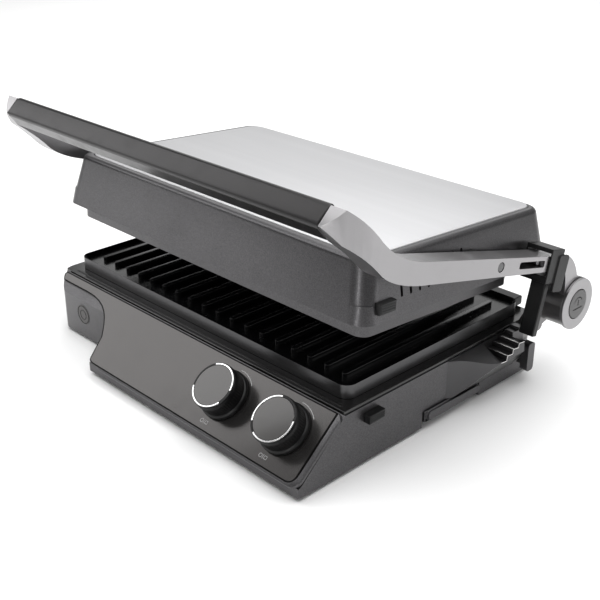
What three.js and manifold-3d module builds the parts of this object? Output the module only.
// Contact grill (panini press) for the table top: a base with a removable ribbed plate, a pull-out
// drip tray and a sloped console, and a floating head that two arms and a handle bar carry from a
// hinge at the back. Millimetres, +X right, +Y back, +Z up. The origin is the middle of the
// footprint, on the table. The head is drawn part open, on the angle that its arms are left at.
import * as THREE from 'three';
import { mergeVertices } from 'three/addons/utils/BufferGeometryUtils.js';
import Module from 'manifold-3d';

const wasm = await Module();
wasm.setup();

// ---- driving dimensions ----
const GAP = 0.3;              // clearance between touching pieces
const WALL = 3;               // moulded wall thickness

const BASE_HALF = 177;        // half width of the base across its side walls
const BASE_DEPTH = 275;       // front foot of the console to the back wall
const BASE_LOW = 3;           // underside of the base, above the table on its feet
const BASE_TOP = 53.5;        // deck around the lower plate
const DECK_THICK = 2.6;       // black deck frame that lies on the housing
const BASE_CORNER = 12;       // plan radius of the base's corners
const LEFT_CORNER = 24;       // and of the one at its left end, behind the console
const SHIFT_Y = -151.4;       // puts the origin in the middle of the footprint

const PANEL_FOOT_Y = -2.6;    // lower front edge of the sloped console face
const PANEL_FOOT_Z = 12.4;
const PANEL_TOP_Y = 44.6;     // upper edge of the sloped console face
const PANEL_TOP_Z = 53;
const PANEL_THICK = 2;
const RECESS_Y = 32;          // upright face behind the cut-away left end of the console

const PLATE_HALF = 168;       // half width of the lower cooking plate
const PLATE_FRONT = 56;
const PLATE_BACK = 264;       // the lower plate runs on behind its ribs as a drain channel
const PLATE_RIM_TOP = 65.2;
const PLATE_CORNER = 9;
const RIB_COUNT = 18;
const RIB_PITCH = 17.7;
const RIB_WIDTH = 4.8;
const RIB_TOP = 64.2;
const RIB_FRONT = 70;
const RIB_BACK = 247;
const PLATE_WALL = 2.6;       // rim of both plates
const PLATE_FLOOR = 6.4;
const SEAT = 9;               // ledge of the deck that the lower plate rests on

const HINGE_Y = 288;          // axle of the lid, across the back
const HINGE_Z = 66.5;
const HEAD_PITCH = 3.64;      // degrees that the head stands nose up as drawn
const ARM_PITCH = 14.1;       // degrees that the arms fall towards the hinge as drawn
const ARM_IN = 184;           // inner and outer faces of each arm
const ARM_OUT = 204;
const HUB_OUT = 207;          // outer face of the hub ring
const HUB_R = 22;
const BARREL_R = 20.6;
const AXLE_R = 6;
const PIVOT_Y = -110;         // head pivot, from the hinge
const PIVOT_Z = 64.5;
const PIVOT_R = 3.5;

const HEAD_HALF = 181.6;      // half width of the head at its lower edge
const HEAD_FRONT = -121.2;    // from the pivot, with the head level
const HEAD_BACK = 105.3;
const HEAD_LOW = -24.7;
const HEAD_TOP = 19.7;
const HEAD_DRAFT = 9;         // how far the sides lean in towards the top
const HEAD_CORNER = 15;
const UPPER_HALF = 172;       // upper plate, from the pivot
const UPPER_FRONT = -109.8;
const UPPER_BACK = 62.5;
const UPPER_LOW = -38;
const RIB_INSET = 10;         // from the upper plate's edge to the ends of its ribs

const rad = THREE.MathUtils.degToRad;

// ---- finishes ----
const finish = (color, roughness, metalness) => new THREE.MeshStandardMaterial({ color, roughness, metalness });
const gunmetal = () => finish(0x4a4a4c, 0.42, 0.75);
const satinAlloy = () => finish(0xb4b2b4, 0.38, 0.9);
const stainless = () => finish(0xc8c8ca, 0.3, 1);
const nonStick = () => finish(0x17181b, 0.45, 0.1);
const blackPlastic = () => finish(0x151516, 0.4, 0);
const glossBlack = () => finish(0x232325, 0.15, 0.3);
const rubber = () => finish(0x101010, 0.9, 0);
const steel = () => finish(0x9a9a9c, 0.35, 1);

// ---- closed solids and booleans ----
function solid(geometry) {
  const bare = geometry.clone();
  bare.deleteAttribute('normal');
  bare.deleteAttribute('uv');
  const merged = mergeVertices(bare, 1e-4);
  return new wasm.Manifold(new wasm.Mesh({
    numProp: 3,
    vertProperties: new Float32Array(merged.attributes.position.array),
    triVerts: new Uint32Array(merged.index.array),
  }));
}

function geometryOf(manifold) {
  const mesh = manifold.getMesh();
  const geometry = new THREE.BufferGeometry();
  geometry.setAttribute('position', new THREE.BufferAttribute(mesh.vertProperties, 3));
  geometry.setIndex(new THREE.BufferAttribute(mesh.triVerts, 1));
  geometry.computeVertexNormals();
  return geometry;
}

function box(x0, x1, y0, y1, z0, z1) {
  const geometry = new THREE.BoxGeometry(x1 - x0, y1 - y0, z1 - z0);
  return geometry.translate((x0 + x1) / 2, (y0 + y1) / 2, (z0 + z1) / 2);
}

// A (y, z) outline pushed along X from x0 to x1.
function alongX(shape, x0, x1, curveSegments = 6) {
  const geometry = new THREE.ExtrudeGeometry(shape, { depth: x1 - x0, bevelEnabled: false, curveSegments });
  return geometry.applyMatrix4(new THREE.Matrix4().set(
    0, 0, 1, x0,
    1, 0, 0, 0,
    0, 1, 0, 0,
    0, 0, 0, 1,
  ));
}

// An (x, y) outline pushed up from z0 to z1.
function alongZ(shape, z0, z1, curveSegments = 5) {
  const geometry = new THREE.ExtrudeGeometry(shape, { depth: z1 - z0, bevelEnabled: false, curveSegments });
  return geometry.translate(0, 0, z0);
}

function polygon(points) {
  return new THREE.Shape(points.map(([a, b]) => new THREE.Vector2(a, b)));
}

function roundRect(x0, x1, y0, y1, r) {
  const shape = new THREE.Shape();
  shape.moveTo(x0 + r, y0);
  shape.lineTo(x1 - r, y0);
  shape.absarc(x1 - r, y0 + r, r, -Math.PI / 2, 0);
  shape.lineTo(x1, y1 - r);
  shape.absarc(x1 - r, y1 - r, r, 0, Math.PI / 2);
  shape.lineTo(x0 + r, y1);
  shape.absarc(x0 + r, y1 - r, r, Math.PI / 2, Math.PI);
  shape.lineTo(x0, y0 + r);
  shape.absarc(x0 + r, y0 + r, r, Math.PI, Math.PI * 1.5);
  return shape;
}

// A round bar along X.
function barX(x0, x1, y, z, r, sides = 28) {
  const geometry = new THREE.CylinderGeometry(r, r, x1 - x0, sides);
  return geometry.rotateZ(Math.PI / 2).translate((x0 + x1) / 2, y, z);
}

// A round bar along Z.
function barZ(x, y, z0, z1, r, sides = 24) {
  const geometry = new THREE.CylinderGeometry(r, r, z1 - z0, sides);
  return geometry.rotateX(Math.PI / 2).translate(x, y, (z0 + z1) / 2);
}

const join = (first, ...rest) => rest.reduce((sum, piece) => sum.add(solid(piece)), solid(first));
const cut = (manifold, ...cutters) => cutters.reduce((sum, piece) => sum.subtract(solid(piece)), manifold);

// ---- scene graph ----
const model = new THREE.Group();
model.position.y = SHIFT_Y;

const lid = new THREE.Group();
lid.position.set(0, HINGE_Y, HINGE_Z);
model.add(lid);

const head = new THREE.Group();
head.position.set(0, PIVOT_Y, PIVOT_Z);
head.rotation.x = -rad(HEAD_PITCH);
lid.add(head);

// The right arm's own frame: from the pivot, Y runs back along the arm and Z stands square to it.
const along = new THREE.Group();
along.position.set(0, PIVOT_Y, PIVOT_Z);
along.rotation.x = -rad(ARM_PITCH);
lid.add(along);

function place(parent, name, shape, material) {
  const geometry = shape.isBufferGeometry ? shape : geometryOf(shape);
  const mesh = new THREE.Mesh(geometry, material);
  mesh.name = name;
  parent.add(mesh);
  return mesh;
}

const SIDES = [['right', 1], ['left', -1]];
// A geometry drawn for the right side, or its mirror twin with its faces turned back outwards.
function sided(geometry, side) {
  if (side > 0) return geometry;
  const twin = geometry.clone().applyMatrix4(new THREE.Matrix4().makeScale(-1, 1, 1));
  const flat = twin.index ? twin.toNonIndexed() : twin;
  const p = flat.attributes.position;
  for (let i = 0; i < p.count; i += 3) {
    for (const axis of ['X', 'Y', 'Z']) {
      const keep = p[`get${axis}`](i);
      p[`set${axis}`](i, p[`get${axis}`](i + 1));
      p[`set${axis}`](i + 1, keep);
    }
  }
  return flat;
}
const sidedSolid = (manifold, side) => geometryOf(solid(sided(geometryOf(manifold), side)));

// ---- console slope: a frame whose X is the object's X, Y runs up the slope and Z leaves it ----
const slopeAngle = Math.atan2(PANEL_TOP_Z - PANEL_FOOT_Z, PANEL_TOP_Y - PANEL_FOOT_Y);
const slopeLength = Math.hypot(PANEL_TOP_Z - PANEL_FOOT_Z, PANEL_TOP_Y - PANEL_FOOT_Y);
const slopeFrame = new THREE.Matrix4()
  .makeTranslation(0, PANEL_FOOT_Y, PANEL_FOOT_Z)
  .multiply(new THREE.Matrix4().makeRotationX(slopeAngle));
const onSlope = (geometry) => geometry.applyMatrix4(slopeFrame);

// The console's left end: low down it stops short, then it sweeps out to the corner under a lip.
const LEFT_FOOT_X = -76.5;
const LEFT_WAIST_X = -80.5;
const LIP_LOW = 51;
function consoleOutline(inset) {
  const shape = new THREE.Shape();
  const right = BASE_HALF - 4 - inset;
  shape.moveTo(LEFT_FOOT_X + 8 + inset, inset);
  shape.lineTo(right - 8, inset);
  shape.quadraticCurveTo(right, inset, right, 9);
  shape.lineTo(right, slopeLength - 1 - inset);
  shape.lineTo(-BASE_HALF + 6 + inset, slopeLength - 1 - inset);
  shape.lineTo(-BASE_HALF + 2 + inset, LIP_LOW + 3 + inset);
  shape.quadraticCurveTo(-BASE_HALF + 2, LIP_LOW + inset, -BASE_HALF + 10, LIP_LOW + inset);
  shape.lineTo(-130, LIP_LOW + inset);
  shape.bezierCurveTo(-98 + inset, LIP_LOW + inset, -90 + inset, 38, LEFT_WAIST_X + inset, 24);
  shape.lineTo(LEFT_FOOT_X + inset * 0.75, 5);
  shape.quadraticCurveTo(LEFT_FOOT_X + inset, inset, LEFT_FOOT_X + 8 + inset, inset);
  return shape;
}

// Cuts everything left of the console's left edge, from the slope down to the upright recess face.
function recessCutter() {
  const shape = new THREE.Shape();
  shape.moveTo(-BASE_HALF - 20, -30);
  shape.lineTo(LEFT_FOOT_X, -30);
  shape.lineTo(LEFT_FOOT_X, 2);
  shape.lineTo(LEFT_WAIST_X, 24);
  shape.bezierCurveTo(-90, 38, -98, LIP_LOW - 0.5, -130, LIP_LOW - 0.5);
  shape.lineTo(-BASE_HALF - 20, LIP_LOW - 0.5);
  const wedge = new THREE.ExtrudeGeometry(shape, { depth: 90, bevelEnabled: false, curveSegments: 8 });
  wedge.translate(0, 0, -80);
  const front = box(-BASE_HALF - 30, 0, -60, RECESS_Y, -60, BASE_TOP + 20);
  return solid(onSlope(wedge)).intersect(solid(front));
}

// ---- base ----
// The hole under the lower plate, which leaves a ledge all round for it to rest on.
function plateOpening() {
  return roundRect(-PLATE_HALF + SEAT, PLATE_HALF - SEAT, PLATE_FRONT + SEAT, PLATE_BACK - SEAT, 8);
}

// The base's outline from above: square on to the console, with a large corner at its left end.
function basePlan(inset, z0, z1) {
  const front = roundRect(-100, BASE_HALF - inset, -8 + inset, BASE_DEPTH - inset, BASE_CORNER - inset);
  const left = new THREE.Shape();
  const edge = -BASE_HALF + inset;
  const r = LEFT_CORNER - inset;
  left.moveTo(edge + r, RECESS_Y - 1 + inset);
  left.lineTo(0, RECESS_Y - 1 + inset);
  left.lineTo(0, BASE_DEPTH - inset);
  left.lineTo(edge + BASE_CORNER, BASE_DEPTH - inset);
  left.absarc(edge + BASE_CORNER, BASE_DEPTH - inset - BASE_CORNER, BASE_CORNER, Math.PI / 2, Math.PI);
  left.lineTo(edge, RECESS_Y - 1 + inset + r);
  left.absarc(edge + r, RECESS_Y - 1 + inset + r, r, Math.PI, Math.PI * 1.5);
  return solid(alongZ(front, z0, z1, 6)).add(solid(alongZ(left, z0, z1, 8)));
}

const BUTTON = { y0: 64.5, y1: 80.5, z0: 37.5, z1: 44.5 };
const TRAY = { y0: 132, y1: 201, low: 7, top: 16.6, inner: -60 };
const KNOBS = [['left_knob', 76, 32.6], ['right_knob', 141.2, 32.8]];
const SHAFT_R = 3;

function baseHousing() {
  const drop = (PANEL_THICK + GAP) / Math.cos(slopeAngle);
  const shelf = BASE_TOP - DECK_THICK - GAP;
  const shelfY = PANEL_TOP_Y - (PANEL_TOP_Z - drop - shelf) / Math.tan(slopeAngle);
  const side = (z0, inset) => polygon([
    [inset, z0], [inset, PANEL_FOOT_Z - 1],
    [PANEL_FOOT_Y + 3 + inset, PANEL_FOOT_Z + 1 - drop - inset * 0.5],
    [shelfY + inset, shelf - inset],
    [BASE_DEPTH - inset, shelf - inset], [BASE_DEPTH - inset, z0],
  ]);
  const outer = solid(alongX(side(BASE_LOW, 0), -BASE_HALF, BASE_HALF))
    .intersect(basePlan(0, 0, 80)).subtract(recessCutter());
  const hollow = solid(alongX(side(BASE_LOW - 10, WALL), -BASE_HALF, BASE_HALF))
    .intersect(basePlan(WALL, -10, 80))
    .subtract(solid(box(-BASE_HALF - 5, LEFT_WAIST_X + 16, -10, RECESS_Y + WALL, -20, 80)));
  const opening = alongZ(plateOpening(), 40, 60);
  const shafts = KNOBS.map(([, x, v]) => onSlope(barZ(x, v, -12, 6, SHAFT_R + 1)));
  return cut(outer.subtract(hollow), opening,
    box(BASE_HALF - 8, BASE_HALF + 8, BUTTON.y0 - GAP, BUTTON.y1 + GAP, BUTTON.z0 - GAP, BUTTON.z1 + GAP),
    box(BASE_HALF - 8, BASE_HALF + 8, TRAY.y0 - 1, TRAY.y1 + 1, -5, TRAY.top + 0.8),
    ...shafts);
}
place(model, 'base_housing', baseHousing(), gunmetal());

// The black frame on top of the housing, round the opening that the lower plate drops into.
function deckFrame() {
  const plan = basePlan(0.6, BASE_TOP - DECK_THICK, BASE_TOP);
  const front = box(-BASE_HALF - 5, BASE_HALF + 5, -20, PANEL_TOP_Y + 0.2, 0, 80);
  const opening = alongZ(plateOpening(), 40, 60);
  return cut(plan, front, opening);
}
place(model, 'deck_frame', deckFrame(), glossBlack());

function consolePanel() {
  const sheet = new THREE.ExtrudeGeometry(consoleOutline(1), {
    depth: PANEL_THICK, bevelEnabled: false, curveSegments: 8,
  });
  const holes = KNOBS.map(([, x, v]) => barZ(x, v, -20, 6, SHAFT_R + 1));
  const flat = cut(solid(sheet.translate(0, 0, -PANEL_THICK)), ...holes);
  return solid(onSlope(geometryOf(flat))).intersect(basePlan(0.4, 0, 80));
}
place(model, 'console_panel', consolePanel(), glossBlack());

function bottomCover() {
  const edge = WALL + 1;
  const low = BASE_LOW + 0.4;
  return cut(basePlan(edge, low, low + 2),
    box(-BASE_HALF - 5, LEFT_WAIST_X + 19, -20, RECESS_Y + edge + 1, -5, 20),
    box(-BASE_HALF - 5, BASE_HALF + 5, -20, edge + 2, -5, 20),
    box(TRAY.inner - 3, BASE_HALF + 5, TRAY.y0 - 0.5, TRAY.y1 + 0.5, -5, 20));
}
place(model, 'bottom_cover', bottomCover(), blackPlastic());

const FEET = [
  ['front_right', 152, 20], ['front_left', -150, 48], ['back_right', 150, 255], ['back_left', -150, 255],
];
for (const [where, x, y] of FEET) {
  const profile = [[0, 0], [8.5, 0], [9.5, 1], [9.5, BASE_LOW + 0.1], [0, BASE_LOW + 0.1]];
  const foot = new THREE.LatheGeometry(profile.map(([r, z]) => new THREE.Vector2(r, z)), 20);
  place(model, `${where}_foot`, foot.rotateX(Math.PI / 2).translate(x, y, 0), rubber());
}

// Adds the row of round-ended ribs that both plates carry.
function withRibs(plate, y0, y1, z0, z1) {
  let ribbed = plate;
  const half = RIB_WIDTH / 2;
  for (let i = 0; i < RIB_COUNT; i += 1) {
    const x = (i - (RIB_COUNT - 1) / 2) * RIB_PITCH;
    ribbed = ribbed.add(solid(alongZ(roundRect(x - half, x + half, y0, y1, half - 0.05), z0, z1, 3)));
  }
  return ribbed;
}

function lowerPlate() {
  const floorZ = BASE_TOP + GAP;
  const floorTop = floorZ + PLATE_FLOOR;
  const outline = roundRect(-PLATE_HALF, PLATE_HALF, PLATE_FRONT, PLATE_BACK, PLATE_CORNER);
  const tray = alongZ(outline, floorZ, PLATE_RIM_TOP);
  const well = alongZ(roundRect(-PLATE_HALF + PLATE_WALL, PLATE_HALF - PLATE_WALL,
    PLATE_FRONT + PLATE_WALL, PLATE_BACK - PLATE_WALL, PLATE_CORNER - PLATE_WALL), floorTop, PLATE_RIM_TOP + 5);
  return withRibs(cut(solid(tray), well), RIB_FRONT, RIB_BACK, floorTop - 1, RIB_TOP);
}
place(model, 'lower_plate', lowerPlate(), nonStick());

// A sheathed heating rod bent into a long loop, lying flat at height z.
const HEATER_R = 3.4;
function heaterLoop(halfX, y0, y1, z) {
  const bend = (y1 - y0) / 2;
  const path = new THREE.CurvePath();
  const at = (x, y) => new THREE.Vector3(x, y, z);
  path.add(new THREE.LineCurve3(at(-halfX, y0), at(halfX - bend, y0)));
  const turn = new THREE.CatmullRomCurve3([0, 1, 2, 3, 4].map((k) => {
    const a = -Math.PI / 2 + (k * Math.PI) / 4;
    return at(halfX - bend + bend * Math.cos(a), (y0 + y1) / 2 + bend * Math.sin(a));
  }));
  path.add(turn);
  path.add(new THREE.LineCurve3(at(halfX - bend, y1), at(-halfX, y1)));
  const section = new THREE.Shape();
  section.absarc(0, 0, HEATER_R, 0, Math.PI * 2);
  return new THREE.ExtrudeGeometry(section, { steps: 34, extrudePath: path, curveSegments: 4 });
}
place(model, 'lower_heater', heaterLoop(140, 100, 215, 47), steel());

function reflector(y0, y1, z0, z1) {
  const outer = alongZ(roundRect(-153, 153, y0, y1, 8), z0, z1);
  return cut(solid(outer), alongZ(roundRect(-152, 152, y0 + 1, y1 - 1, 7), z0 + 1, z1 + 5));
}
place(model, 'lower_reflector', reflector(72, 248, 34, 41), stainless());

function dripTray() {
  const { y0, y1, low, top, inner } = TRAY;
  const body = box(inner, BASE_HALF + 1, y0 + 1, y1 - 1, low, top);
  const well = box(inner + 2, BASE_HALF - 3, y0 + 3, y1 - 3, low + 2, top + 5);
  const lip = alongX(roundRect(y0 + 3, y1 - 3, low + 2, top - 0.4, 3), BASE_HALF + 0.6, BASE_HALF + 3.6);
  return cut(solid(body), well).add(solid(lip));
}
place(model, 'drip_tray', dripTray(), gunmetal());

place(model, 'lower_release', box(BASE_HALF - 7, BASE_HALF + 6.5, BUTTON.y0, BUTTON.y1, BUTTON.z0, BUTTON.z1),
  blackPlastic());

// ---- controls ----
const KNOB_R = 18.8;
const KNOB_H = 19;
function knobBody() {
  const profile = [
    [0, 9], [SHAFT_R + GAP, 9], [SHAFT_R + GAP, 1.2], [KNOB_R + 1.6, 1.2], [KNOB_R + 1.2, 4], [KNOB_R, 6],
    [KNOB_R, KNOB_H - 2], [KNOB_R - 0.9, KNOB_H - 1.2], [KNOB_R - 2.2, KNOB_H - 1.2],
    [KNOB_R - 2.2, KNOB_H - 1.6], [0, KNOB_H - 1.6],
  ];
  const lathe = new THREE.LatheGeometry(profile.map(([r, z]) => new THREE.Vector2(r, z)), 40);
  return lathe.rotateX(Math.PI / 2);
}
function knobRing() {
  const low = KNOB_H - 0.9;
  const profile = [
    [KNOB_R - 2.2, low], [KNOB_R - 0.9, low], [KNOB_R - 0.9, KNOB_H - 0.1], [KNOB_R - 2.2, KNOB_H],
    [KNOB_R - 2.2, low],
  ];
  const lathe = new THREE.LatheGeometry(profile.map(([r, z]) => new THREE.Vector2(r, z)), 40);
  return lathe.rotateX(Math.PI / 2);
}
for (const [name, x, v] of KNOBS) {
  place(model, name, onSlope(knobBody().translate(x, v, 0)), blackPlastic());
  place(model, `${name}_ring`, onSlope(knobRing().translate(x, v, 0)), stainless());
  const can = box(x - 14, x + 14, v - 11, v + 11, -19, -PANEL_THICK - WALL - 3);
  const body = join(can, barZ(x, v, -10, 8.4, SHAFT_R));
  const unit = name === 'left_knob' ? 'thermostat' : 'timer';
  place(model, unit, onSlope(geometryOf(body)), steel());
}

// A plain round badge on the recess face.
place(model, 'front_badge', geometryOf(solid(
  new THREE.CylinderGeometry(9.6, 9.6, 0.5, 32).translate(-132, RECESS_Y - 0.25 - 0.15, 25))), glossBlack());

// ---- height rack on the right wall, and the slot behind it that the leg drops into when parked ----
const RACK = { foot: 17.6, front: 208.5, out: 19.5, run: 7.5, back: 235, inner: 8.2, innerBack: 246 };
const RACK_LEVELS = [40.8, 44.3, 47.4, 50];
const INNER_LEVELS = [50, 52.9, 54.6];
// Saw teeth from the foot up: each tread falls a little towards the back, and meets the next riser.
function rackOutline(levels, from, back) {
  const points = [];
  levels.forEach((level, i) => {
    const y = from + RACK.run * (i - 1);
    points.push([y, level], [Math.min(y + RACK.run - 0.4, back), level - 0.9]);
  });
  points.push([back, RACK.foot], [from - RACK.run, RACK.foot]);
  return polygon(points.reverse());
}
function heightRack() {
  const x0 = BASE_HALF + GAP;
  const x1 = x0 + RACK.out;
  const innerOutline = rackOutline(INNER_LEVELS, RACK.front + RACK.run * 3, RACK.innerBack);
  const inner = alongX(innerOutline, x0, x0 + RACK.inner);
  const block = join(alongX(rackOutline(RACK_LEVELS, RACK.front, RACK.back), x0, x1), inner);
  // The outer side leans in to the wall towards the table, and the nose fairs out from the wall.
  const lean = polygon([[x0 + 1.5, RACK.foot - 1], [x1, 40], [x1 + 20, 40], [x1 + 20, 0], [x0 + 1.5, 0]]);
  const start = RACK.front - RACK.run;
  const fair = new THREE.Shape();
  fair.moveTo(x0, 158);
  fair.lineTo(x0 + 1, 158);
  fair.bezierCurveTo(x0 + 3, 176, x1 - 2, 186, x1, start + 0.1);
  fair.lineTo(x0, start + 0.1);
  const nose = RACK_LEVELS[0];
  const shoulder = polygon([[x0, BASE_TOP - 3], [x1, nose], [x1 + 9, nose], [x1 + 9, 80], [x0, 80]]);
  const above = alongZ(shoulder, -start - 1, 0).rotateX(Math.PI / 2);
  const fairing = cut(solid(alongZ(fair, RACK.foot, 60, 10)), above);
  return cut(block.add(fairing), alongZ(lean, -400, 0).rotateX(Math.PI / 2));
}
place(model, 'height_rack', heightRack(), gunmetal());

// A lug behind the rack that the parked leg stands clear of.
const lugWeb = box(BASE_HALF + GAP, BASE_HALF + 15, 251, 254.8, 16, 36);
const lugTab = alongX(roundRect(246, 255, 13, 38.5, 3), BASE_HALF + 8, BASE_HALF + 15);
place(model, 'rack_lug', join(lugTab, lugWeb), gunmetal());

// ---- hinge posts, barrels and axles ----
for (const [name, side] of SIDES) {
  const x0 = BASE_HALF + GAP;
  const outline = new THREE.Shape();
  outline.moveTo(246, 40);
  outline.lineTo(272, 39.5);
  outline.absarc(272, 44.1, 4.6, -Math.PI / 2, 0);
  outline.lineTo(HINGE_Y + 4, HINGE_Z - BARREL_R + 2);
  outline.lineTo(HINGE_Y + 4, HINGE_Z + 4);
  outline.lineTo(HINGE_Y - 8, HINGE_Z + BARREL_R - 3);
  outline.lineTo(262, 64);
  outline.lineTo(246, 52);
  const web = solid(alongX(outline, x0, ARM_IN - 0.6));
  const barrel = solid(barX(x0, ARM_OUT - GAP, HINGE_Y, HINGE_Z, BARREL_R, 44));
  const bore = barX(x0 - 5, ARM_OUT + 10, HINGE_Y, HINGE_Z, AXLE_R + GAP, 28);
  place(model, `${name}_hinge_post`, sidedSolid(cut(web.add(barrel), bore), side), gunmetal());
}

// ---- rear cover with the inlet that the mains lead enters by ----
const rearBar = alongX(roundRect(BASE_DEPTH - 8, BASE_DEPTH + 4, BASE_TOP + GAP, 62, 2), -160, 160);
place(model, 'rear_ridge', rearBar, blackPlastic());
place(model, 'mains_inlet', geometryOf(cut(
  solid(new THREE.CylinderGeometry(9, 11, 10, 24).translate(-110, BASE_DEPTH + GAP + 5, 24)),
  new THREE.CylinderGeometry(4, 4, 8, 16).translate(-110, BASE_DEPTH + 9, 24))), blackPlastic());

// ---- hub rings and axles that carry the arms ----
for (const [name, side] of SIDES) {
  const ring = solid(barX(ARM_OUT + GAP, HUB_OUT, 0, 0, HUB_R, 48));
  const pocket = barX(ARM_OUT + 1.2, HUB_OUT + 5, 0, 0, 12.8, 36);
  const hole = barX(ARM_OUT - 5, HUB_OUT + 5, 0, 0, AXLE_R + 0.1, 28);
  const body = side > 0 ? cut(ring, pocket, hole) : cut(ring, hole);
  place(lid, `${name}_hub_ring`, sidedSolid(body, side), satinAlloy());
  const axle = solid(barX(BASE_HALF - 6, ARM_OUT + 0.8, 0, 0, AXLE_R, 28));
  place(lid, `${name}_axle`, sidedSolid(axle, side), steel());
}
place(lid, 'hinge_release', barX(ARM_OUT + 1.6, HUB_OUT + 0.4, 0, 0, 12.4, 36), gunmetal());

// ---- arms ----
const SLOT = { from: 24.7, to: 59.7, half: 2.7 };   // along the arm from the pivot, for the clip's pin
const SCREW_R = 3.4;
const SHANK_R = 2.6;
function armOutline() {
  const shape = new THREE.Shape();
  shape.moveTo(-278.3, 135.9);
  shape.lineTo(-269.5, 123.7);
  shape.quadraticCurveTo(-254, 112, -243, 99.5);
  shape.quadraticCurveTo(-232, 87, -202.5, 78.9);
  shape.lineTo(-22.5, 36);
  shape.quadraticCurveTo(-18, 34, -17, 8);
  shape.lineTo(12, 8);
  shape.lineTo(12, 19);
  shape.quadraticCurveTo(4, 23, -1, 24.5);
  shape.quadraticCurveTo(-6, 40, -18, 47);
  shape.lineTo(-199, 95);
  shape.quadraticCurveTo(-228, 104, -244.2, 124.5);
  shape.quadraticCurveTo(-256, 138, -267.2, 146.5);
  return shape;
}
along.updateMatrix();
const alongArm = along.matrix;
for (const [name, side] of SIDES) {
  const plan = new THREE.Shape();
  plan.moveTo(ARM_IN - 3, -279.5);
  plan.lineTo(ARM_IN, -278.6);
  plan.bezierCurveTo(ARM_IN + 9, -274.5, ARM_OUT, -264, ARM_OUT, -244);
  plan.lineTo(ARM_OUT, 60);
  plan.lineTo(ARM_IN - 3, 60);
  const recess = barX(ARM_OUT - 1.6, ARM_OUT + 5, PIVOT_Y, PIVOT_Z, SCREW_R + 0.6, 28);
  let arm = solid(alongX(armOutline(), ARM_IN, ARM_OUT, 10)).intersect(solid(alongZ(plan, -50, 200, 8)));
  arm = cut(arm, recess,
    barX(ARM_IN - 5, ARM_OUT + 5, 0, 0, BARREL_R + 0.6, 48),
    barX(ARM_IN - 5, ARM_OUT + 5, PIVOT_Y, PIVOT_Z, SHANK_R + 0.1, 24));
  if (side > 0) {
    const slot = roundRect(SLOT.from, SLOT.to, -SLOT.half, SLOT.half, 1.8);
    arm = cut(arm, alongX(slot, ARM_IN - 5, ARM_OUT + 5).applyMatrix4(alongArm));
  }
  place(lid, `${name}_arm`, sidedSolid(arm, side), satinAlloy());
  const screw = join(barX(HEAD_HALF - 22, ARM_OUT - 0.5, PIVOT_Y, PIVOT_Z, SHANK_R, 24),
    barX(ARM_OUT - 1.5, ARM_OUT - 0.2, PIVOT_Y, PIVOT_Z, SCREW_R, 28));
  place(lid, `${name}_pivot_screw`, sidedSolid(screw, side), steel());
}

const barSection = polygon([[-267.2, 146.5], [-276.6, 138.4], [-278.3, 135.9], [-277.4, 133.5], [-269.5, 123.7],
  [-266.5, 124.6], [-262.8, 144.6], [-264.5, 146.6]]);
const BAR_END = ARM_IN - GAP;
place(lid, 'handle_bar', alongX(barSection, -BAR_END, BAR_END), gunmetal());

// ---- height clip: a saddle on the right arm, its pin in the arm's slot, and the leg under it ----
function heightClip() {
  const x0 = ARM_IN - 1.8;
  const x1 = ARM_OUT + 1.8;
  const shell = solid(box(x0, x1, 65, 83, -16, 11.6));
  const plate = alongX(roundRect(76, 90, -23, 7, 2.5), ARM_OUT + 0.5, ARM_OUT + 3);
  const flange = join(plate, box(x0, ARM_IN - 0.4, 53, 75, -4, 4));
  const tunnel = box(ARM_IN - 0.4, ARM_OUT + 0.5, 60, 95, -10.6, 8);
  const pinHole = barX(x0 - 5, ARM_IN + 1, 56.5, 0, 2.05, 16);
  return cut(shell, tunnel).add(flange).subtract(solid(pinHole));
}
place(along, 'height_clip', heightClip(), blackPlastic());
place(along, 'clip_pin', barX(ARM_IN - 1.8, ARM_OUT - 4, 56.5, 0, 1.9, 16), steel());
const legOutline = roundRect(76, 82, -62.6, -16.3, 1);
place(along, 'height_leg', alongX(legOutline, ARM_IN + 2.5, ARM_IN + 16), blackPlastic());

// ---- head ----
// A rounded block whose walls lean in towards its top.
function taperedBlock(half, y0, y1, z0, z1, corner, draft, inset = 0) {
  const outline = roundRect(-half + inset, half - inset, y0 + inset, y1 - inset, corner - inset * 0.6);
  const block = alongZ(outline, z0, z1);
  const middle = (y0 + y1) / 2;
  const p = block.attributes.position;
  for (let i = 0; i < p.count; i += 1) {
    const lean = (draft * (p.getZ(i) - HEAD_LOW)) / (HEAD_TOP - HEAD_LOW);
    p.setX(i, p.getX(i) * (1 - lean / half));
    p.setY(i, middle + (p.getY(i) - middle) * (1 - lean / ((y1 - y0) / 2)));
  }
  return block;
}
const VENT = { first: -79.3, pitch: 9.8, count: 8, low: -11, high: 9, width: 2.4 };
const UPPER_BUTTON = { y0: -106.8, y1: -90, z0: -17, z1: -8.6 };
const INLAY_DEPTH = 2;
function inlayOutline(inset) {
  return roundRect(-163 + inset, 163 - inset, HEAD_FRONT + 16 + inset, HEAD_BACK - 12 - inset, 12 - inset);
}
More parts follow.
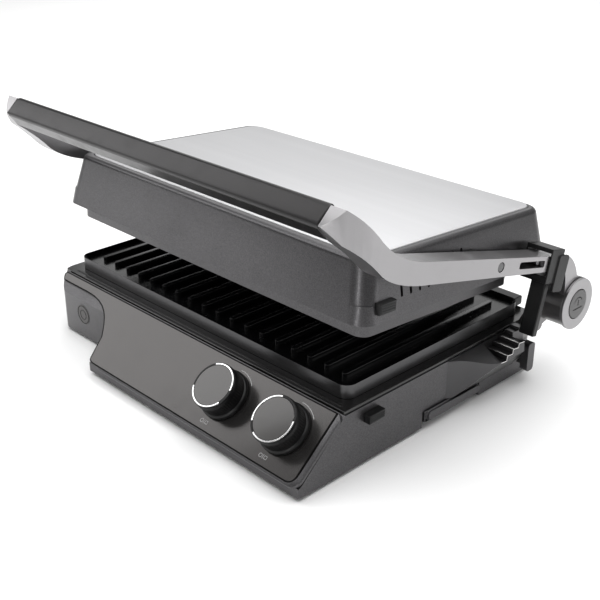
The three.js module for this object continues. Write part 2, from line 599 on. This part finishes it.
function headHousing() {
  const outer = solid(taperedBlock(HEAD_HALF, HEAD_FRONT, HEAD_BACK, HEAD_LOW, HEAD_TOP, HEAD_CORNER, HEAD_DRAFT));
  const inner = taperedBlock(HEAD_HALF, HEAD_FRONT, HEAD_BACK, HEAD_LOW - 5, HEAD_TOP - WALL - INLAY_DEPTH,
    HEAD_CORNER, HEAD_DRAFT, WALL);
  let shell = cut(outer, inner, alongZ(inlayOutline(0), HEAD_TOP - INLAY_DEPTH, HEAD_TOP + 5));
  for (let i = 0; i < VENT.count; i += 1) {
    const y = VENT.first + i * VENT.pitch;
    const half = VENT.width / 2;
    shell = cut(shell, box(-HEAD_HALF - 5, HEAD_HALF + 5, y - half, y + half, VENT.low, VENT.high));
  }
  return cut(shell,
    barX(-HEAD_HALF - 5, HEAD_HALF + 5, 0, 0, PIVOT_R + 2.6, 24),
    box(HEAD_HALF - 15, HEAD_HALF + 5, UPPER_BUTTON.y0 - GAP, UPPER_BUTTON.y1 + GAP,
      UPPER_BUTTON.z0 - GAP, UPPER_BUTTON.z1 + GAP));
}
place(head, 'head_housing', headHousing(), gunmetal());
const inlay = alongZ(inlayOutline(0.4), HEAD_TOP - INLAY_DEPTH + GAP, HEAD_TOP + 0.7);
place(head, 'head_top_panel', inlay, stainless());

for (const [name, side] of SIDES) {
  const bush = cut(solid(barX(HEAD_HALF - 16, ARM_IN - 0.4, 0, 0, PIVOT_R + 2.4, 24)),
    barX(HEAD_HALF - 30, HEAD_HALF + 5, 0, 0, SHANK_R + 0.25, 24));
  place(head, `${name}_pivot_bush`, sidedSolid(bush, side), blackPlastic());
}

function upperPlate() {
  const top = HEAD_LOW + 3;
  const outer = alongZ(roundRect(-UPPER_HALF, UPPER_HALF, UPPER_FRONT, UPPER_BACK, PLATE_CORNER), UPPER_LOW, top);
  const well = alongZ(roundRect(-UPPER_HALF + PLATE_WALL, UPPER_HALF - PLATE_WALL,
    UPPER_FRONT + PLATE_WALL, UPPER_BACK - PLATE_WALL, PLATE_CORNER - PLATE_WALL), UPPER_LOW - 5, top - 6);
  return withRibs(cut(solid(outer), well), UPPER_FRONT + RIB_INSET, UPPER_BACK - RIB_INSET, UPPER_LOW + 0.8, top - 5);
}
place(head, 'upper_plate', upperPlate(), nonStick());
place(head, 'upper_heater', heaterLoop(138, -85, 38, -14), steel());
const upperPan = geometryOf(reflector(-52, 100, 1, 7)).rotateX(Math.PI);
place(head, 'upper_reflector', upperPan, stainless());
place(head, 'upper_release', box(HEAD_HALF - 14, ARM_IN - 0.4, UPPER_BUTTON.y0, UPPER_BUTTON.y1,
  UPPER_BUTTON.z0, UPPER_BUTTON.z1), blackPlastic());

export default model;
